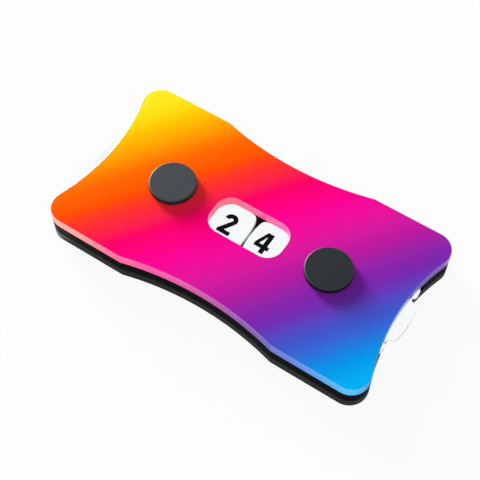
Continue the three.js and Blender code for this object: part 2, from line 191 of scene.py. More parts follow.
class LifeCounterTurned(bpy.types.PropertyGroup):
    """Sizes of the knobs, bushes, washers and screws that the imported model's boxes don't give."""

    knob_round: length("Knob rim", "Rounding of a knob's upper rim", 0.45)
    knob_foot: length("Knob foot", "Chamfer of a knob's lower rim", 0.15)
    seat_radius: length("Knob seat radius", "Seat in a knob for its stem", 1.55)
    seat_depth: length("Knob seat depth", "Depth of that seat", 0.9)
    bush_bore: length("Bush bore", "Radius of a bush's bore", 2.08)
    bush_radius: length("Bush radius", "Radius of a cover bush above its flange", 2.88)
    flange_thickness: length("Flange thickness", "Thickness of a cover bush's flange", 0.2)
    washer_bore: length("Washer bore", "Radius of a stem washer's hole", 1.1)
    stem_shank: length("Stem screw shank", "Radius of a stem screw's shank", 1)
    stem_head: length("Stem screw head", "Height of a stem screw's head", 0.8)
    case_shank: length("Case screw shank", "Radius of a case screw's shank", 1.2)
    case_head: length("Case screw head", "Height of a case screw's head", 1.3)
    socket_radius: length("Socket radius", "Hex socket of the screws, to its corners", 0.8)
    socket_depth: length("Socket depth", "Depth of the hex socket", 0.7)
    edge_round: length("Small edges", "Rounding of small turned edges", 0.05)
    turned_steps: count("Turned steps", "Steps round each turned piece", 72)


class LifeCounterPrint(bpy.types.PropertyGroup):
    """The rainbow printed on the cover, from its far left corner to its near right one."""

    slant: angle("Slant", "How far the rainbow's run turns from the case's length", 36)
    run: length("Run", "Length of the rainbow from yellow to sky blue", 96)
    yellow: shade("Yellow", "Start of the rainbow", 254, 236, 35)
    gold: shade("Gold", "One tenth along", 254, 201, 2)
    orange: shade("Orange", "Two tenths along", 254, 130, 1)
    vermilion: shade("Vermilion", "Three tenths along", 254, 76, 0)
    cerise: shade("Cerise", "Four tenths along", 250, 21, 87)
    rose: shade("Rose", "Half way", 249, 2, 141)
    magenta: shade("Magenta", "Six tenths along", 220, 23, 156)
    purple: shade("Purple", "Seven tenths along", 160, 33, 163)
    indigo: shade("Indigo", "Eight tenths along", 98, 60, 184)
    azure: shade("Azure", "Nine tenths along", 40, 117, 218)
    sky: shade("Sky blue", "End of the rainbow", 1, 173, 240)
    # The clear edge's white is a painted reflection of the room, mixed into the print's colour
    edge_painted_reflection: share("Clear edge's white", "How much white the clear edge adds to the print", 0.07)
    # Painted highlight: the clear edge turns whiter towards its left end, where the low lamp stands
    left_end_painted_highlight: share("Left end's white", "How much more white the clear edge has at its left end", 0.24)

    def stops(self):
        """The colours and their places along the run, evenly spaced."""
        colours = (
            self.yellow, self.gold, self.orange, self.vermilion, self.cerise, self.rose,
            self.magenta, self.purple, self.indigo, self.azure, self.sky,
        )
        last = len(colours) - 1
        return [(i / last, (*colour, 1)) for i, colour in enumerate(colours)]


class LifeCounterFinishes(bpy.types.PropertyGroup):
    """Colours of the plain finishes."""

    white_sheet: shade("White sheet", "The dials", 249, 251, 252)
    ink: shade("Ink", "Filling of the dials' digits", 5, 5, 6)
    black_sheet: shade("Black sheet", "The rails", 12, 12, 14)
    charcoal_sheet: shade("Charcoal sheet", "The base plate", 26, 29, 31)
    # Painted light and shade: the knobs are one charcoal plastic, the tens knob painted paler as lit and the
    # ones knob darker as shaded
    tens_knob: shade("Tens knob", "Moulded knob of the tens dial", 58, 63, 66)
    ones_knob: shade("Ones knob", "Moulded knob of the ones dial", 25, 30, 34)
    film: shade("Bonding film", "Film between the rails and the cover", 214, 212, 202)
    brass: shade("Brass", "Threaded inserts", 200, 164, 92)
    steel: shade("Plated steel", "Screws, washers and stems", 176, 180, 184)
    spring_steel: shade("Spring steel", "Wave washers", 140, 142, 148)
    acetal: shade("Acetal", "Bushes", 232, 229, 220)


class LifeCounterStage(bpy.types.PropertyGroup):
    """Camera, lamps and floor."""

    lens: FloatProperty(
        name="Lens", description="Focal length on a 36 mm frame", default=81, min=1, unit="CAMERA"
    )
    camera_round: angle("Camera azimuth", "Angle round the counter, from straight in front", 32.9)
    camera_up: angle("Camera elevation", "Angle above the table", 58.75)
    camera_roll: angle("Camera roll", "Turn about the line of sight", -0.338)
    camera_away: length("Camera distance", "From the middle of the cover's top", 269.44)
    aim_right: FloatProperty(
        name="Aim right", description="Camera's step to its right", default=-2.22 * MM,
        subtype="DISTANCE", unit="LENGTH",
    )
    aim_up: FloatProperty(
        name="Aim up", description="Camera's step upwards in its frame", default=-3.187 * MM,
        subtype="DISTANCE", unit="LENGTH",
    )
    room_light: strength("Room light", "Strength of the even white light", 0.22)
    key_light: strength("Key light", "Strength of the low lamp from the left", 7.4)
    key_round: angle("Key azimuth", "Where the low lamp stands, from straight in front", -112)
    key_up: angle("Key elevation", "Angle of the low lamp above the table", 12.5)
    key_width: angle("Key width", "How wide the low lamp looks, which softens shadows", 20)
    fill_light: strength("Fill light", "Strength of the wide lamp in front, on the clear cover", 3.2)
    fill_round: angle("Fill azimuth", "Where the front lamp stands, from straight in front", 30)
    fill_up: angle("Fill elevation", "Angle of the front lamp above the table", 12)
    fill_width: angle("Fill width", "How wide the front lamp looks", 50)
    dial_light: strength("Dial light", "Strength of the soft lamp for the dials in their slot", 2.93)
    dial_round: angle("Dial lamp azimuth", "Where the dials' lamp hangs, from straight in front", 40)
    dial_up: angle("Dial lamp elevation", "Angle of the dials' lamp above the table", 48)
    dial_width: angle("Dial lamp width", "How wide the dials' lamp looks", 50)
    top_light: strength("Top light", "Strength of the soft lamp overhead", 0.2)
    top_round: angle("Top azimuth", "Where the soft lamp hangs, from straight in front", -60)
    top_up: angle("Top elevation", "Angle of the soft lamp above the table", 75)
    top_width: angle("Top width", "How wide the soft lamp looks", 60)
    floor: shade("Floor", "Colour of the table", 250, 250, 250)
    floor_white: share("Floor's own white", "How much of the white is seen only by the camera", 0.93)


class LifeCounterSettings(bpy.types.PropertyGroup):
    """All settings of the life counter."""

    case: PointerProperty(type=LifeCounterCase)
    turned: PointerProperty(type=LifeCounterTurned)
    printed: PointerProperty(type=LifeCounterPrint)
    finishes: PointerProperty(type=LifeCounterFinishes)
    stage: PointerProperty(type=LifeCounterStage)


# Shader maths


class Value:
    """One socket of a node tree, which adds maths nodes where it stands in a sum."""

    def __init__(self, tree, socket):
        self.tree = tree
        self.socket = socket

    def __add__(self, other):
        return self.tree.maths("ADD", self, other)

    def __radd__(self, other):
        return self.tree.maths("ADD", other, self)

    def __sub__(self, other):
        return self.tree.maths("SUBTRACT", self, other)

    def __rsub__(self, other):
        return self.tree.maths("SUBTRACT", other, self)

    def __mul__(self, other):
        return self.tree.maths("MULTIPLY", self, other)

    def __rmul__(self, other):
        return self.tree.maths("MULTIPLY", other, self)

    def __truediv__(self, other):
        return self.tree.maths("DIVIDE", self, other)

    def __rtruediv__(self, other):
        return self.tree.maths("DIVIDE", other, self)

    def __abs__(self):
        return self.tree.maths("ABSOLUTE", self)

    def __lt__(self, other):
        return self.tree.maths("LESS_THAN", self, other)

    def __gt__(self, other):
        return self.tree.maths("GREATER_THAN", self, other)


class NodeTree:
    """A tree of shader nodes, filled by expressions."""

    def __init__(self, tree):
        self.tree = tree
        tree.nodes.clear()

    def node(self, kind, settings=None, inputs=None, output=0):
        """Adds a node, makes its settings, feeds its sockets and gives one of its outputs."""
        made = self.tree.nodes.new("ShaderNode" + kind)
        for key, value in (settings or {}).items():
            if key == "stops":
                self.lay_stops(made.color_ramp.elements, value)
            elif key == "interpolation":
                made.color_ramp.interpolation = value
            else:
                setattr(made, key, value)
        for key, value in (inputs or {}).items():
            self.feed(made.inputs[key], value)
        return Value(self, made.outputs[output])

    def feed(self, socket, value):
        """Links a socket to a value, or sets it to a number or colour."""
        if isinstance(value, Value):
            self.tree.links.new(value.socket, socket)
        else:
            socket.default_value = value

    def lay_stops(self, elements, stops):
        """Replaces a colour ramp's stops."""
        while len(elements) > 1:
            elements.remove(elements[0])
        elements[0].position, elements[0].color = stops[0]
        for position, colour in stops[1:]:
            elements.new(position).color = colour

    def end(self, kind, shader):
        """Adds the tree's output and links a shader to it."""
        made = self.tree.nodes.new("ShaderNode" + kind)
        self.feed(made.inputs[0], shader)

    def maths(self, operation, *terms):
        """A sum, product or comparison of values and numbers."""
        return self.node("Math", {"operation": operation}, dict(enumerate(terms)))

    def mix(self, factor, first, second):
        """A colour between two colours."""
        first, second = (c if isinstance(c, Value) else (*c[:3], 1) for c in (first, second))
        return self.node("Mix", {"data_type": "RGBA"}, {0: factor, 6: first, 7: second}, 2)

    def length(self, *sides):
        """The length of a vector from its sides."""
        vector = self.node("CombineXYZ", {}, dict(enumerate(sides)))
        return self.node("VectorMath", {"operation": "LENGTH"}, {0: vector}, "Value")

    def stretched(self, vector, scales):
        """A vector multiplied along each axis."""
        return self.node("VectorMath", {"operation": "MULTIPLY"}, {0: vector, 1: scales})

    def noise(self, vector, size, detail=2, roughness=0.5):
        """Cloudy noise from 0 to 1, with blotches of a given size in metres."""
        inputs = {"Vector": vector, "Scale": 1 / size, "Detail": detail, "Roughness": roughness}
        return self.node("TexNoise", {}, inputs)

    def smooth(self, value, low, high):
        """0 below low, 1 above high, and a smooth step between them."""
        inputs = {"Value": value, "From Min": low, "From Max": high}
        return self.node("MapRange", {"interpolation_type": "SMOOTHSTEP"}, inputs)


class Finish(NodeTree):
    """A material on one Principled shader, with the piece's own coordinates at hand."""

    def __init__(self, name, **constants):
        self.material = bpy.data.materials.new(name)
        self.material.use_nodes = True
        super().__init__(self.material.node_tree)
        bsdf = self.node("BsdfPrincipled")
        self.shader = bsdf.socket.node
        self.end("OutputMaterial", bsdf)
        self.paint(**constants)
        self.place = self.node("TexCoord", {}, {}, "Object")
        split = self.node("SeparateXYZ", {}, {"Vector": self.place}).socket.node
        self.x, self.y, self.z = (Value(self, output) for output in split.outputs)

    def paint(self, **values):
        """Feeds the shader's sockets, named in lower case with underscores."""
        for name, value in values.items():
            socket = self.shader.inputs[SHADER_SOCKETS[name]]
            if name == "colour" and not isinstance(value, Value):
                value = (*value[:3], 1)
            self.feed(socket, value)

    def rise(self):
        """How far the surface faces up, from -1 to 1."""
        normal = self.node("NewGeometry", {}, {}, "Normal")
        return self.node("SeparateXYZ", {}, {"Vector": normal}, "Z")

    def upright(self):
        """1 on walls and 0 on flat faces."""
        return 1 - self.smooth(abs(self.rise()), WALL_TILT_SHARE, FACE_TILT_SHARE)

    def mottled(self, amount, colour, gain, lift=0):
        """A colour that turns lighter or darker where the amount is high."""
        return self.mix(amount, colour, [c * gain + lift for c in colour])

    def relief(self, height, depth):
        """Feeds the normal with a relief of the given depth in metres."""
        self.paint(normal=self.node("Bump", {}, {"Height": height, "Distance": depth}))


SHADER_SOCKETS = {
    "colour": "Base Color",
    "metallic": "Metallic",
    "roughness": "Roughness",
    "specular": "Specular IOR Level",
    "coat": "Coat Weight",
    "coat_roughness": "Coat Roughness",
    "normal": "Normal",
}


# Finishes

# Where walls, rims and faces are told apart by how far they face up, from 0 to 1
WALL_TILT_SHARE = 0.45
FACE_TILT_SHARE = 0.75
RIM_TILT_SHARES = (0.93, 0.98)

# Sizes are in metres and turns in radians. Tone and roughness shares are a plain number, unless the
# operator gives it, and then what each texture adds. Pale is what a colour is multiplied by and lifted by
PRINT_GRAIN = 0.16 * MM
PRINT_BLOTCH = 7 * MM
PRINT_RELIEF = 0.004 * MM
PRINT_TONE_SHARES = (0.985, 0.02, 0.01)
PRINT_ROUGHNESS_SHARES = (0.27, 0.06, 0.04)

LASER_FINE_LINE = 0.22 * MM
LASER_WIDE_LINE = 1.4 * MM
LASER_FINE_SHARE = 0.6
LASER_STRETCH_SHARES = (1, 1, 0.02)
CLEAR_RELIEF = 0.006 * MM
CLEAR_ROUGHNESS_SHARES = (0.1, 0.12)
# Painted highlight: how much whiter the clear edge turns towards its top
CLEAR_TOP_PAINTED_HIGHLIGHT = 0.03
CLEAR_LINE_SHARE = 0.02

RUB_LINE = 0.3 * MM
RUB_PATCH = 11 * MM
RUB_TURN = 1.1
RUB_STRETCH_SHARES = ((1, 0.04, 1), (0.03, 1, 1))
RUB_LINE_SHARES = (0.66, 0.72)
RUB_PATCH_SHARES = (0.45, 0.7)

SHEET_GRAIN = 0.35 * MM
SHEET_RELIEF = 0.008 * MM
SHEET_PALE = (1.2, 0.006)
SHEET_TONE_SHARES = (0, 0.5, 0.35)
SHEET_ROUGHNESS_SHARES = (0.05, 0.15, 0.1)
SHEET_RELIEF_SHARE = 0.5

# Ink lies in the digits only: below the dial's face, above the engraving's floor, inside the lobes
INK_DROP = 0.03 * MM
INK_FLOOR = 0.25 * MM
INK_RIM = 1.83 * MM
INK_HUB = 3 * MM
DIAL_ROUGHNESS = 0.24
INK_ROUGHNESS_SHARE = 0.2

KNOB_GRAIN = 0.11 * MM
KNOB_CLOUD = 3 * MM
KNOB_RELIEF = 0.012 * MM
KNOB_GRAIN_SHARE = 0.35
KNOB_PALE = (1.3, 0.004)
# Painted shade: a knob's walls take only this share of its colour
KNOB_WALL_PAINTED_SHADE = 0.25
KNOB_ROUGHNESS_SHARES = (0.5, 0.06, 0.04)
KNOB_COAT_SHARE = 0.6

LATHE_RING = 0.05 * MM
LATHE_STAIN = 0.9 * MM
LATHE_RELIEF = 0.003 * MM
LATHE_STAIN_SHARE = 0.4
LATHE_DARK = 0.72
LATHE_ROUGHNESS_SHARES = (0.12, 0.12)

ROLLED_STREAK = 0.08 * MM
ROLLED_STRETCH_SHARES = (0.1, 1, 1)
ROLLED_STAIN = 1.2 * MM
ROLLED_RELIEF = 0.004 * MM
ROLLED_STAIN_SHARE = 0.5
ROLLED_DARK = 0.7
ROLLED_ROUGHNESS_SHARE = 0.15

ACETAL_GRAIN = 0.12 * MM
FILM_GRAIN = 0.2 * MM
PLASTIC_RELIEF = 0.006 * MM
PLASTIC_GRAIN_SHARE = 0.5
PLASTIC_DARK = 0.88
PLASTIC_ROUGHNESS_SHARE = 0.1


def added(shares, *values):
    """The first share as it is, and on it the other shares of the values, one for each."""
    total, *parts = shares
    for value, part in zip(values, parts):
        total = total + value * part
    return total


def rainbow(finish, printed):
    """The print's colour along its slanting run."""
    along = finish.x * math.cos(printed.slant) - finish.y * math.sin(printed.slant)
    place = along / printed.run + 0.5
    settings = {"interpolation": "CARDINAL", "stops": printed.stops()}
    return finish.node("ValToRGB", settings, {"Fac": place})


def printed_face(settings):
    """Ink on the cover's top: the rainbow, with the faint grain of the print."""
    finish = Finish("Printed cover face", specular=0.02)
    colour = rainbow(finish, settings.printed)
    grain = finish.noise(finish.place, PRINT_GRAIN, detail=3, roughness=0.6)
    blotch = finish.noise(finish.place, PRINT_BLOTCH)
    tone = added(PRINT_TONE_SHARES, grain, blotch)
    toned = finish.node("VectorMath", {"operation": "SCALE"}, {0: colour, "Scale": tone})
    finish.paint(colour=toned, roughness=added(PRINT_ROUGHNESS_SHARES, grain, blotch))
    finish.relief(grain, PRINT_RELIEF)
    return finish.material


def laser_lines(finish):
    """The fine upright lines that a laser leaves on the edge of a sheet."""
    across = finish.stretched(finish.place, LASER_STRETCH_SHARES)
    fine = finish.noise(across, LASER_FINE_LINE, roughness=0.7)
    wide = finish.noise(across, LASER_WIDE_LINE)
    return fine * LASER_FINE_SHARE + wide * (1 - LASER_FINE_SHARE)


def clear_edge(settings):
    """The cover's clear sheet, seen at its edges: the print's colour in it, with white mixed in as a painted
    reflection of the room, a painted highlight towards its top and more painted light at its left end.
    """
    printed = settings.printed
    finish = Finish("Clear cover edge", specular=0.25, coat=0.1, coat_roughness=0.04)
    low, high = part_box("cover_plate")
    # Painted highlight: the edge's white grows from its foot to its top
    rise = finish.smooth(finish.z, low.z, high.z)
    lines = laser_lines(finish)
    # Painted light: white rises towards the left end, where the low lamp shines on the edge
    left = finish.smooth(-1 * finish.x, DIAL_X / 2, high.x)
    # The first share paints the room's reflection as white over the whole clear edge
    shares = (printed.edge_painted_reflection, printed.left_end_painted_highlight, CLEAR_TOP_PAINTED_HIGHLIGHT, CLEAR_LINE_SHARE)
    white = added(shares, left, rise, lines)
    finish.paint(colour=finish.mix(white, rainbow(finish, printed), (1, 1, 1)))
    finish.paint(roughness=added(CLEAR_ROUGHNESS_SHARES, lines))
    finish.relief(lines * finish.upright(), CLEAR_RELIEF)
    return finish.material


def rub_marks(finish):
    """Hairline scratches in two directions, from 0 to 1, thin and far apart."""
    turned = finish.node(
        "VectorRotate", {"rotation_type": "Z_AXIS"}, {"Vector": finish.place, "Angle": RUB_TURN}
    )
    marks = 0
    for place, stretch in zip((finish.place, turned), RUB_STRETCH_SHARES):
        lines = finish.noise(finish.stretched(place, stretch), RUB_LINE, detail=1)
        marks = finish.smooth(lines, *RUB_LINE_SHARES) + marks
    return marks * finish.smooth(finish.noise(finish.place, RUB_PATCH), *RUB_PATCH_SHARES)


def sheet(name, colour, roughness, specular=0.5):
    """Acrylic sheet: faces with a faint texture and rub marks, and walls with laser lines."""
    finish = Finish(name, specular=specular)
    wall = finish.upright()
    lines = wall * laser_lines(finish)
    marks = (1 - wall) * rub_marks(finish)
    grain = finish.noise(finish.place, SHEET_GRAIN, detail=3, roughness=0.6)
    finish.colour = finish.mottled(added(SHEET_TONE_SHARES, lines, marks), colour, *SHEET_PALE)
    finish.paint(colour=finish.colour)
    finish.paint(roughness=added((roughness, *SHEET_ROUGHNESS_SHARES), grain, marks, lines))
    relief = (1 - wall) * grain - marks
    finish.relief(lines + relief * SHEET_RELIEF_SHARE, SHEET_RELIEF)
    return finish


def inked_dial(settings):
    """White sheet with the engraved digits filled in black."""
    colours = settings.finishes
    finish = sheet("White dial sheet", colours.white_sheet, DIAL_ROUGHNESS, specular=0.06)
    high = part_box("ones_dial")[1]
    reach = high.x - DIAL_X
    radius = finish.length(abs(finish.x) - DIAL_X, finish.y)
    engraved = (finish.z < high.z - INK_DROP) * (finish.z > high.z - INK_FLOOR)
    inked = engraved * (radius < reach - INK_RIM) * (radius > INK_HUB)
    finish.paint(colour=finish.mix(inked, finish.colour, colours.ink))
    finish.paint(roughness=DIAL_ROUGHNESS + inked * INK_ROUGHNESS_SHARE)
    return finish.material


def moulded(name, colour):
    """Knob plastic: an even grain with a faint unevenness in its sheen, painted shade on its walls, a
    shinier rim.
    """
    finish = Finish(name, specular=0.2, coat_roughness=0.5)
    grain = finish.noise(finish.place, KNOB_GRAIN, detail=3, roughness=0.7)
    cloud = finish.noise(finish.place, KNOB_CLOUD)
    wall = finish.upright()
    face = finish.mottled(grain * KNOB_GRAIN_SHARE, colour, *KNOB_PALE)
    # Painted shade: the walls are darkened to a share of the knob's colour
    finish.paint(colour=finish.mix(wall, face, [c * KNOB_WALL_PAINTED_SHADE for c in colour]))
    finish.paint(roughness=added(KNOB_ROUGHNESS_SHARES, grain, cloud))
    rim = (1 - wall) * (1 - finish.smooth(finish.rise(), *RIM_TILT_SHARES))
    finish.paint(coat=rim * KNOB_COAT_SHARE)
    finish.relief(grain, KNOB_RELIEF)
    return finish.material


def turned_metal(name, colour, roughness):
    """Metal with the fine rings of a lathe round the piece's own axis."""
    finish = Finish(name, metallic=1)
    radius = finish.length(finish.x, finish.y)
    across = finish.node("CombineXYZ", {}, {0: radius, 1: finish.z})
    rings = finish.noise(across, LATHE_RING, detail=1)
    stain = finish.noise(finish.place, LATHE_STAIN, detail=3)
    finish.paint(colour=finish.mottled(stain * LATHE_STAIN_SHARE, colour, LATHE_DARK))
    finish.paint(roughness=added((roughness, *LATHE_ROUGHNESS_SHARES), rings, stain))
    finish.relief(rings, LATHE_RELIEF)
    return finish.material


def plain_metal(name, colour, roughness):
    """Stamped or rolled metal: fine streaks and a little stain."""
    finish = Finish(name, metallic=1)
    streak = finish.noise(finish.stretched(finish.place, ROLLED_STRETCH_SHARES), ROLLED_STREAK)
    stain = finish.noise(finish.place, ROLLED_STAIN, detail=3)
    finish.paint(colour=finish.mottled(stain * ROLLED_STAIN_SHARE, colour, ROLLED_DARK))
    finish.paint(roughness=roughness + streak * ROLLED_ROUGHNESS_SHARE)
    finish.relief(streak, ROLLED_RELIEF)
    return finish.material


def soft_plastic(name, colour, roughness, grain_size):
    """Natural plastic or film with a soft sheen and a fine grain."""
    finish = Finish(name, specular=0.4)
    grain = finish.noise(finish.place, grain_size, detail=3)
    finish.paint(colour=finish.mottled(grain * PLASTIC_GRAIN_SHARE, colour, PLASTIC_DARK))
    finish.paint(roughness=roughness + grain * PLASTIC_ROUGHNESS_SHARE)
    finish.relief(grain, PLASTIC_RELIEF)
    return finish.material


# Outlines, counter-clockwise lists of points


def arc(x, y, radius, start, end, steps):
    """Points from one angle to another on a circle, both ends included."""
    turns = [start + (end - start) * i / steps for i in range(steps + 1)]
    return [(x + radius * math.cos(turn), y + radius * math.sin(turn)) for turn in turns]


def circle(radius, steps):
    """A whole circle about the origin."""
    return arc(0, 0, radius, 0, 2 * math.pi, steps)[:-1]


def mirrored(points):
    """Points mirrored across the Y axis, in the same sense of travel."""
    return [(-x, y) for x, y in reversed(points)]


def half_turned(points):
    """Points turned half way round the origin."""
    return [(-x, -y) for x, y in points]


def turned_outline(steps):
    """Circles about the origin, for profiles of (radius, height)."""
    return lambda radius: circle(radius, steps)


class CaseShape:
    """The case's outlines, each set in or out by an exact offset."""

    def __init__(self, sizes):
        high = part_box("cover_plate")[1]
        self.sizes = sizes
        self.shoulder_y = high.y
        self.corner_x = high.x - sizes.corner_radius
        self.corner_y = high.y - sizes.corner_radius
        waist = self.corner_x - sizes.end_dip
        span = self.corner_x**2 + self.corner_y**2 - waist**2
        self.end_centre = span / (2 * sizes.end_dip)
        self.end_radius = self.end_centre - waist - sizes.corner_radius
        self.end_tangent = math.atan2(self.corner_y, self.end_centre - self.corner_x)
        kink_x = DIAL_X - sizes.kink_to_axis
        self.side_radius = (kink_x**2 + sizes.side_dip**2) / (2 * sizes.side_dip)
        self.side_centre = high.y - sizes.side_dip + self.side_radius
        self.well_radius = high.y - sizes.rail_wall

    def quarter(self, from_y, inset):
        """From a height on the right end to the middle of the far side."""
        sizes = self.sizes
        end_radius = self.end_radius + inset
        side_radius = self.side_radius + inset
        rise = self.side_centre - (self.shoulder_y - inset)
        kink = math.acos(rise / side_radius)
        start = math.pi - math.asin(from_y / end_radius)
        corner_radius = sizes.corner_radius - inset
        end_arc = arc(self.end_centre, 0, end_radius, start, math.pi - self.end_tangent, sizes.arc_steps)
        corner = (self.corner_x, self.corner_y, corner_radius)
        tip = arc(*corner, -self.end_tangent, 0, sizes.round_steps)
        shoulder = arc(*corner, 0, QUARTER_TURN, sizes.corner_steps)
        angles = (kink - QUARTER_TURN, -QUARTER_TURN)
        side = arc(0, self.side_centre, side_radius, *angles, sizes.arc_steps)
        return [*end_arc[:-1], *tip[:-1], *shoulder, *side]

    def case(self, inset):
        """The cover's and the base plate's outline."""
        quarter = self.quarter(0, inset)
        half = [*quarter[:-1], *mirrored(quarter)[:-1]]
        return [*half, *half_turned(half)]

    def far_rail(self, inset):
        """The far rail's outline, between the case's outline and the two dial wells."""
        sizes = self.sizes
        end = self.end_radius + inset
        well = self.well_radius + inset
        reach = self.end_centre - DIAL_X
        cross_x = (self.end_centre**2 - end**2 - DIAL_X**2 + well**2) / (2 * reach)
        tip_y = math.sqrt(well**2 - (cross_x - DIAL_X) ** 2) + sizes.rail_tip_trim
        crest_y = sizes.window_width / 2 + sizes.crest_to_window + inset
        quarter = self.quarter(tip_y, inset)
        angles = (math.pi - math.asin(tip_y / well), math.asin(crest_y / well))
        left_well = arc(-DIAL_X, 0, well, *angles, 2 * sizes.arc_steps)
        return [*quarter[:-1], *mirrored(quarter), *left_well, *mirrored(left_well)]

    def near_rail(self, inset):
        """The near rail's outline."""
        return half_turned(self.far_rail(inset))

    def window(self, growth):
        """The window's outline, made larger all round by a growth."""
        sizes = self.sizes
        x = sizes.window_length / 2 - sizes.window_corner
        y = sizes.window_width / 2 - sizes.window_corner
        radius = sizes.window_corner + growth
        points = []
        for i, (cx, cy) in enumerate(((x, y), (-x, y), (-x, -y), (x, -y))):
            start = i * QUARTER_TURN
            points += arc(cx, cy, radius, start, start + QUARTER_TURN, sizes.corner_steps)
        return points


# Profiles, lists of (offset or radius, height)


def straight(offset, low, high):
    """A straight wall from one height to another."""
    return [(offset, low), (offset, high)]


def softened(profile, radius, steps):
    """A profile with each inner corner rounded off, over no more than a part of its shorter side."""
    points = [Vector(point) for point in profile]
    soft = [points[0]]
    for before, corner, after in zip(points, points[1:], points[2:]):
        back, on = before - corner, after - corner
        reach = min(radius, back.length / SIDE_PARTS, on.length / SIDE_PARTS)
        start = corner + back.normalized() * reach
        end = corner + on.normalized() * reach
        for i in range(steps + 1):
            t = i / steps
            soft.append(start * (1 - t) ** 2 + corner * (2 * t * (1 - t)) + end * t**2)
    return [*soft, points[-1]]


def edge_profile(foot, top, radius, steps):
    """A straight wall between two faces with its edges rounded, as (inset, height) pairs."""
    margin = SIDE_PARTS * radius
    return softened([(margin, foot), (0, foot), (0, top), (margin, top)], radius, steps)[1:-1]


# Solids


class Solid:
    """Rings of points joined by walls and closed by caps, for one mesh."""

    def __init__(self):
        self.points = []
        self.faces = []
        self.slots = []
        self.creases = set()

    def wall(self, outline, profile, inward=False):
        """Walls through rings of an outline, one for each (offset, height) of a rising profile."""
        rings = []
        for offset, height in profile:
            first = len(self.points)
            ring = outline(offset)
            if inward:
                ring = ring[::-1]
            self.points += [(x, y, height) for x, y in ring]
            rings.append(range(first, len(self.points)))
        sharp = self.sharp_corners(rings[len(rings) // 2])
        for low, high in zip(rings, rings[1:]):
            for i in range(len(low)):
                j = (i + 1) % len(low)
                self.faces.append((low[i], low[j], high[j], high[i]))
                self.slots.append(0)
            self.creases |= {frozenset((low[i], high[i])) for i in sharp}
        return rings[0], rings[-1]

    def sharp_corners(self, ring):
        """Where a ring turns more than its arcs do."""
        points = [Vector(self.points[i][:2]) for i in ring]
        sides = [after - before for before, after in zip(points, points[1:] + points[:1])]
        return [
            i for i, side in enumerate(sides)
            if abs(sides[i - 1].angle_signed(side)) > KINK_ANGLE
        ]

    def cap(self, rings, up, slot=0):
        """Closes the first ring, less the others, with a flat face up or down."""
        loops = [[Vector(self.points[i]) for i in ring] for ring in rings]
        numbers = [i for ring in rings for i in ring]
        for triangle in tessellate_polygon(loops):
            a, b, c = (numbers[i] for i in triangle)
            (ax, ay), (bx, by), (cx, cy) = (self.points[i][:2] for i in (a, b, c))
            rises = (bx - ax) * (cy - ay) - (by - ay) * (cx - ax) > 0
            self.faces.append((a, b, c) if rises == up else (a, c, b))
            self.slots.append(slot)

    def close(self, ends, top_slot=0):
        """Caps the feet and the tops of walls, the first wall's less those of the others."""
        feet, tops = zip(*ends)
        self.cap(feet, up=False)
        self.cap(tops, up=True, slot=top_slot)

    def drill(self, radius, x, y, profile):
        """The wall of a round hole about a point, through (growth, height) pairs."""
        steps = bpy.context.scene.life_counter.turned.turned_steps
        return self.wall(
            lambda growth: [(px + x, py + y) for px, py in circle(radius + growth, steps)],
            profile, inward=True,
        )

    def mesh(self, name, *materials):
        """The mesh, smooth but for its real edges."""
        mesh = bpy.data.meshes.new(name)
        mesh.from_pydata(self.points, [], self.faces)
        mesh.polygons.foreach_set("material_index", self.slots)
        mesh.shade_smooth()
        mesh.set_sharp_from_angle(angle=SHARP_ANGLE)
        for edge in mesh.edges:
            if frozenset(edge.vertices) in self.creases:
                edge.use_edge_sharp = True
        for material in materials:
            mesh.materials.append(material)
        if mesh.validate():
            raise RuntimeError(f"{name} has faulty faces")
        return mesh


def even_normals(made):
    """Lets a piece's large faces shade flat up to their rounded edges."""
    weighted = made.modifiers.new("Even normals", "WEIGHTED_NORMAL")
    weighted.keep_sharp = True


def put(node, body, slot, solid, *materials, at=(0, 0)):
    """Puts a solid on its body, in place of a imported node."""
    name = node + FINISHED
    made = bpy.data.objects.new(name, solid.mesh(name, *materials))
    made.location = (*at, 0)
    bpy.context.scene.collection.objects.link(made)
    even_normals(made)
    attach(made, body)
    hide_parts(node)
    return made


def turn(node, body, slot, material, profile, hole, through=False, sides=None):
    """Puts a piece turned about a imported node's axis, with a round or many-sided hole in its foot."""
    steps = bpy.context.scene.life_counter.turned.turned_steps
    solid = Solid()
    foot, top = solid.wall(turned_outline(steps), profile)
    mouth, end = solid.wall(turned_outline(sides or steps), hole, inward=True)
    solid.cap([foot, mouth], up=False)
    if through:
        solid.cap([top, end], up=True)
    else:
        solid.cap([end], up=False)
        solid.cap([top], up=True)
    put(node, body, slot, solid, material, at=middle(node)[:2])


def dress(material, *nodes):
    """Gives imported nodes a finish, and smooth shading between their real edges."""
    for name in nodes:
        node = frame["nodes"][name]
        for slot in node.material_slots:
            slot.material = material
        node.data.shade_smooth()
        node.modifiers.new("Joined faces", "WELD").merge_threshold = JOIN_DISTANCE
        node.modifiers.new("Real edges", "EDGE_SPLIT").split_angle = SHARP_ANGLE
        even_normals(node)


# Operators


class LIFECOUNTER_OT_cover(bpy.types.Operator):
    """Shape the cover plate with its window, and print the rainbow on it"""

    bl_idname = "life_counter.cover"
    bl_label = "Cover plate"

    def execute(self, context):
        settings = context.scene.life_counter
        sizes = settings.case
        shape = CaseShape(sizes)
        low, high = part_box("cover_plate")
        rim, crisp = (
            edge_profile(low.z, high.z, radius, sizes.round_steps)
            for radius in (sizes.cover_round, sizes.window_round)
        )
        solid = Solid()
        ends = [solid.wall(shape.case, rim), solid.wall(shape.window, crisp, inward=True)]
        bore = settings.turned.bush_radius + sizes.press_fit
        ends += [solid.drill(bore, x, 0, straight(0, low.z, high.z)) for x in (-DIAL_X, DIAL_X)]
        solid.close(ends, top_slot=1)
        finishes = (clear_edge(settings), printed_face(settings))
        made = put("cover_plate", CASE, "printed_acrylic", solid, *finishes)
        # The clear sheet lets light through to the dials
        made.visible_shadow = False
        made.visible_diffuse = False
        return {"FINISHED"}


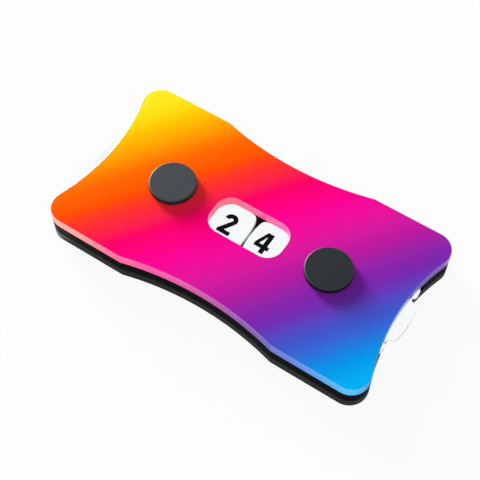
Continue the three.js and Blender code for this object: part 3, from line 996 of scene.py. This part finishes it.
class LIFECOUNTER_OT_base(bpy.types.Operator):
    """Shape the base plate, with its countersinks and counterbores"""

    bl_idname = "life_counter.base"
    bl_label = "Base plate"

    def execute(self, context):
        settings = context.scene.life_counter
        sizes = settings.case
        turned = settings.turned
        soft = turned.edge_round
        low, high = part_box("base_plate")
        profile = edge_profile(low.z, high.z, sizes.base_round, sizes.round_steps)
        solid = Solid()
        ends = [solid.wall(CaseShape(sizes).case, profile)]
        for screw in CASE_SCREWS:
            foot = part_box(screw)[0].z
            mouth = half_width(screw) + sizes.countersink_fit
            neck = turned.case_shank + sizes.countersink_fit
            heights = (foot, foot + turned.case_head)
            ends.append(self.sink(solid, soft, middle(screw), mouth, neck, heights))
        for dial in DIALS:
            bush = dial + "_base_bush"
            mouth = half_width(dial + "_stem_washer") + sizes.counterbore_fit
            neck = half_width(bush) + sizes.press_fit
            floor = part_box(bush)[0].z
            ends.append(self.sink(solid, soft, middle(bush), mouth, neck, (floor, floor)))
        solid.close(ends)
        colour = settings.finishes.charcoal_sheet
        material = sheet("Charcoal base sheet", colour, roughness=0.12).material
        put("base_plate", CASE, "charcoal_acrylic", solid, material)
        return {"FINISHED"}

    def sink(self, solid, soft, centre, mouth, neck, heights):
        """A hole that is wide up to the first height, and a neck from the second one upwards."""
        low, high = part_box("base_plate")
        profile = [
            (2 * soft, low.z), (0, low.z + soft), (0, heights[0]),
            (neck - mouth, heights[1]), (neck - mouth, high.z),
        ]
        return solid.drill(mouth, centre.x, centre.y, softened(profile, soft, MOUTH_STEPS))


class LIFECOUNTER_OT_rails(bpy.types.Operator):
    """Shape the two rails between the plates, and finish the films that bond them to the cover"""

    bl_idname = "life_counter.rails"
    bl_label = "Rails and bonding films"

    def execute(self, context):
        settings = context.scene.life_counter
        sizes = settings.case
        shape = CaseShape(sizes)
        colour = settings.finishes.black_sheet
        material = sheet("Black rail sheet", colour, roughness=0.3, specular=0.03).material
        for side, outline in zip(RAIL_SIDES, (shape.far_rail, shape.near_rail)):
            node = "spacer_rail_" + side
            low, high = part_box(node)
            profile = edge_profile(low.z, high.z, sizes.rail_round, sizes.round_steps)
            solid = Solid()
            ends = [solid.wall(outline, profile)]
            for insert in (name for name in INSERTS if side in name):
                centre = middle(insert)
                bore = half_width(insert) + sizes.press_fit
                ends.append(solid.drill(bore, centre.x, centre.y, straight(0, low.z, high.z)))
            solid.close(ends)
            put(node, CASE, "black_acrylic", solid, material)
        colour = settings.finishes.film
        film = soft_plastic("Bonding film", colour, roughness=0.5, grain_size=FILM_GRAIN)
        dress(film, "bond_film_far", "bond_film_near")
        return {"FINISHED"}


class LIFECOUNTER_OT_dials(bpy.types.Operator):
    """Finish the two lobed dials and fill their engraved digits"""

    bl_idname = "life_counter.dials"
    bl_label = "Dials"

    def execute(self, context):
        dress(inked_dial(context.scene.life_counter), *DIAL_NODES)
        return {"FINISHED"}


class LIFECOUNTER_OT_knobs(bpy.types.Operator):
    """Shape the two knobs on top of the cover"""

    bl_idname = "life_counter.knobs"
    bl_label = "Knobs"

    def execute(self, context):
        settings = context.scene.life_counter
        turned = settings.turned
        soft = turned.edge_round
        for dial in DIALS:
            node = dial + "_knob"
            low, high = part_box(node)
            radius = half_width(node)
            shoulder = high.z - turned.knob_round
            rim = arc(
                radius - turned.knob_round, shoulder, turned.knob_round, 0, QUARTER_TURN,
                2 * settings.case.round_steps,
            )
            foot = [
                (turned.seat_radius + turned.knob_foot, low.z), (radius - turned.knob_foot, low.z),
                (radius, low.z + turned.knob_foot), (radius, shoulder - soft),
            ]
            profile = [*softened(foot, soft, MOUTH_STEPS), *rim]
            seat = straight(turned.seat_radius, low.z, low.z + turned.seat_depth)
            # Each knob's colour holds painted light or shade: the tens knob painted as lit, the ones knob as
            # shaded
            material = moulded(f"Moulded {dial} knob", getattr(settings.finishes, node))
            turn(node, dial, "charcoal_plastic", material, profile, seat)
        return {"FINISHED"}


class LIFECOUNTER_OT_spindles(bpy.types.Operator):
    """Shape the bushes and washers that hold each stem, and finish what turns in them"""

    bl_idname = "life_counter.spindles"
    bl_label = "Stems, bushes and washers"

    def execute(self, context):
        settings = context.scene.life_counter
        turned = settings.turned
        colours = settings.finishes
        soft = turned.edge_round
        acetal = soft_plastic("Acetal", colours.acetal, roughness=0.38, grain_size=ACETAL_GRAIN)
        washer = turned_metal("Turned washer steel", colours.steel, roughness=0.22)
        for dial in DIALS:
            node = dial + "_cover_bush"
            low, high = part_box(node)
            flange = half_width(node)
            seat = low.z + turned.flange_thickness
            mouth = turned.bush_bore + soft
            profile = [
                (mouth, low.z), (flange, low.z), (flange, seat),
                (turned.bush_radius, seat), (turned.bush_radius, high.z), (mouth, high.z),
            ]
            self.ring(node, CASE, "acetal", acetal, profile, turned.bush_bore, soft)
            node = dial + "_stem_washer"
            low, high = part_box(node)
            radius = half_width(node)
            mouth = turned.washer_bore + soft
            profile = [(mouth, low.z), (radius, low.z), (radius, high.z), (mouth, high.z)]
            self.ring(node, dial, "steel", washer, profile, turned.washer_bore, soft)
        stem = plain_metal("Drawn stem steel", colours.steel, roughness=0.2)
        spring = plain_metal("Rolled spring steel", colours.spring_steel, roughness=0.25)
        for material, piece in ((acetal, "_base_bush"), (stem, "_stem"), (spring, "_wave_washer")):
            dress(material, *[dial + piece for dial in DIALS])
        return {"FINISHED"}

    def ring(self, node, body, slot, material, profile, bore, soft):
        """A turned ring with a straight bore and softened edges."""
        low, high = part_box(node)
        hole = straight(bore, low.z, high.z)
        turn(node, body, slot, material, softened(profile, soft, TURNED_STEPS), hole, through=True)


class LIFECOUNTER_OT_screws(bpy.types.Operator):
    """Shape the case and stem screws with their hex sockets, and finish the inserts"""

    bl_idname = "life_counter.screws"
    bl_label = "Screws and inserts"

    def execute(self, context):
        settings = context.scene.life_counter
        turned = settings.turned
        steel = turned_metal("Plated screw steel", settings.finishes.steel, roughness=0.24)
        for node in CASE_SCREWS:
            under_head = [(turned.case_shank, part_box(node)[0].z + turned.case_head)]
            self.screw(node, CASE, steel, turned, under_head, turned.case_shank)
        for dial in DIALS:
            node = dial + "_stem_screw"
            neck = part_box(node)[0].z + turned.stem_head
            under_head = [(half_width(node), neck), (turned.stem_shank, neck)]
            self.screw(node, dial, steel, turned, under_head, turned.stem_shank)
        brass = plain_metal("Machined brass", settings.finishes.brass, roughness=0.22)
        dress(brass, *INSERTS)
        return {"FINISHED"}

    def screw(self, node, body, material, turned, under_head, shank):
        """A screw, head down, with a hex socket in its head's underside."""
        low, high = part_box(node)
        profile = [
            (turned.socket_radius + turned.edge_round, low.z), (half_width(node), low.z),
            *under_head, (shank, high.z), (shank / 2, high.z),
        ]
        profile = softened(profile, turned.edge_round, TURNED_STEPS)
        socket = straight(turned.socket_radius, low.z, low.z + turned.socket_depth)
        turn(node, body, "steel", material, profile, socket, sides=HEX_SIDES)


class LIFECOUNTER_OT_stage(bpy.types.Operator):
    """Set the table, the lamps, the white room and the camera"""

    bl_idname = "life_counter.stage"
    bl_label = "Stage"

    def execute(self, context):
        stage = context.scene.life_counter.stage
        self.lay_table(context.scene, stage)
        self.light_room(context.scene, stage)
        self.hang_lamps(context.scene, stage)
        self.place_camera(context.scene, stage)
        context.scene.view_settings.view_transform = "Standard"
        return {"FINISHED"}

    def lay_table(self, scene, stage):
        """A pale table that keeps shadows, part of whose white only the camera sees."""
        mesh = bpy.data.meshes.new("table")
        corners = [(-1, -1), (1, -1), (1, 1), (-1, 1)]
        mesh.from_pydata([(x * TABLE_REACH, y * TABLE_REACH, 0) for x, y in corners], [], [(0, 1, 2, 3)])
        table = bpy.data.objects.new("table", mesh)
        scene.collection.objects.link(table)
        material = bpy.data.materials.new("Table")
        material.use_nodes = True
        mesh.materials.append(material)
        tree = NodeTree(material.node_tree)
        seen = tree.node("LightPath", {}, {}, "Is Camera Ray")
        matt = tree.node("BsdfDiffuse", {}, {"Color": (*stage.floor, 1)})
        white = tree.node("Emission", {}, {"Color": (1, 1, 1, 1)})
        mixed = tree.node("MixShader", {}, {0: seen * stage.floor_white, 1: matt, 2: white})
        tree.end("OutputMaterial", mixed)

    def light_room(self, scene, stage):
        """An even white room that looks pure white to the camera, in gloss and through glass."""
        world = bpy.data.worlds.new("White room")
        world.use_nodes = True
        scene.world = world
        tree = NodeTree(world.node_tree)
        path = tree.node("LightPath").socket.node
        seen = [Value(tree, path.outputs[f"Is {kind} Ray"]) for kind in ("Camera", "Glossy", "Transmission")]
        shown = tree.maths("MAXIMUM", tree.maths("MAXIMUM", seen[0], seen[1]), seen[2])
        level = stage.room_light + shown * (1 - stage.room_light)
        room = tree.node("Background", {}, {"Color": (1, 1, 1, 1), "Strength": level})
        tree.end("OutputWorld", room)

    def hang_lamps(self, scene, stage):
        """The lamps, some of which light or are blocked by some pieces only."""
        for name, links in LAMPS.items():
            light = bpy.data.lights.new(name, "SUN")
            light.energy = getattr(stage, name + "_light")
            light.angle = getattr(stage, name + "_width")
            back = bearing(getattr(stage, name + "_round"), getattr(stage, name + "_up"))
            lamp = bpy.data.objects.new(name, light)
            lamp.location = back
            lamp.rotation_mode = "QUATERNION"
            lamp.rotation_quaternion = back.to_track_quat("Z", "Y")
            scene.collection.objects.link(lamp)
            for part, (state, pieces) in links.items():
                linked = bpy.data.collections.new(f"{name} {part}")
                for i, piece in enumerate(pieces):
                    linked.objects.link(bpy.data.objects[piece])
                    linked.collection_objects[i].light_linking.link_state = state
                setattr(lamp.light_linking, part + "_collection", linked)

    def place_camera(self, scene, stage):
        """The camera, looking at the middle of the cover's top and a little off it."""
        camera = bpy.data.cameras.new("camera")
        camera.lens = stage.lens
        camera.clip_start = CLIP_START
        back = bearing(stage.camera_round, stage.camera_up)
        right = Vector((math.cos(stage.camera_round), math.sin(stage.camera_round), 0))
        up = back.cross(right)
        cover_top = Vector((0, 0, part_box("cover_plate")[1].z))
        place = cover_top + back * stage.camera_away + right * stage.aim_right + up * stage.aim_up
        cos_roll, sin_roll = math.cos(stage.camera_roll), math.sin(stage.camera_roll)
        across = right * cos_roll - up * sin_roll
        upward = right * sin_roll + up * cos_roll
        made = bpy.data.objects.new("camera", camera)
        made.matrix_world = Matrix.Translation(place) @ Matrix((across, upward, back)).transposed().to_4x4()
        scene.collection.objects.link(made)
        scene.camera = made


# The lamps, with what each lights (receiver) and what casts no shadow in it (blocker)
LAMPS = {
    "key": {"receiver": ("EXCLUDE", DIAL_NODES)},
    "fill": {
        "receiver": ("INCLUDE", ["cover_plate" + FINISHED]),
        "blocker": ("EXCLUDE", [f"{dial}_knob{FINISHED}" for dial in DIALS]),
    },
    "dial": {"receiver": ("INCLUDE", DIAL_NODES)},
    "top": {},
}


def bearing(around, above):
    """The direction at an azimuth from straight in front and an elevation."""
    flat = math.cos(above)
    return Vector((math.sin(around) * flat, -math.cos(around) * flat, math.sin(above)))


class LIFECOUNTER_PT_panel(bpy.types.Panel):
    """The life counter's settings and its steps"""

    bl_idname = "LIFECOUNTER_PT_panel"
    bl_label = "Life Counter"
    bl_space_type = "VIEW_3D"
    bl_region_type = "UI"
    bl_category = "Life Counter"

    def draw(self, context):
        settings = context.scene.life_counter
        for group in ("case", "turned", "printed", "finishes", "stage"):
            box = self.layout.box()
            box.label(text=group.capitalize())
            holder = getattr(settings, group)
            for name in holder.bl_rna.properties.keys():
                if name not in ("rna_type", "name"):
                    box.prop(holder, name)
        for operator in OPERATORS:
            self.layout.operator(operator.bl_idname)


OPERATORS = (
    LIFECOUNTER_OT_cover,
    LIFECOUNTER_OT_base,
    LIFECOUNTER_OT_rails,
    LIFECOUNTER_OT_dials,
    LIFECOUNTER_OT_knobs,
    LIFECOUNTER_OT_spindles,
    LIFECOUNTER_OT_screws,
    LIFECOUNTER_OT_stage,
)

CLASSES = (
    LifeCounterCase,
    LifeCounterTurned,
    LifeCounterPrint,
    LifeCounterFinishes,
    LifeCounterStage,
    LifeCounterSettings,
    *OPERATORS,
    LIFECOUNTER_PT_panel,
)


def register():
    """Registers the classes and hangs the settings on the scene."""
    for cls in CLASSES:
        bpy.utils.register_class(cls)
    bpy.types.Scene.life_counter = PointerProperty(type=LifeCounterSettings)


def unregister():
    """Takes the settings and the classes away again."""
    del bpy.types.Scene.life_counter
    for cls in reversed(CLASSES):
        bpy.utils.unregister_class(cls)


def main():
    """Builds the whole counter."""
    register()
    for operator in OPERATORS:
        group, step = operator.bl_idname.split(".")
        getattr(getattr(bpy.ops, group), step)()


if __name__ == "__main__":
    main()
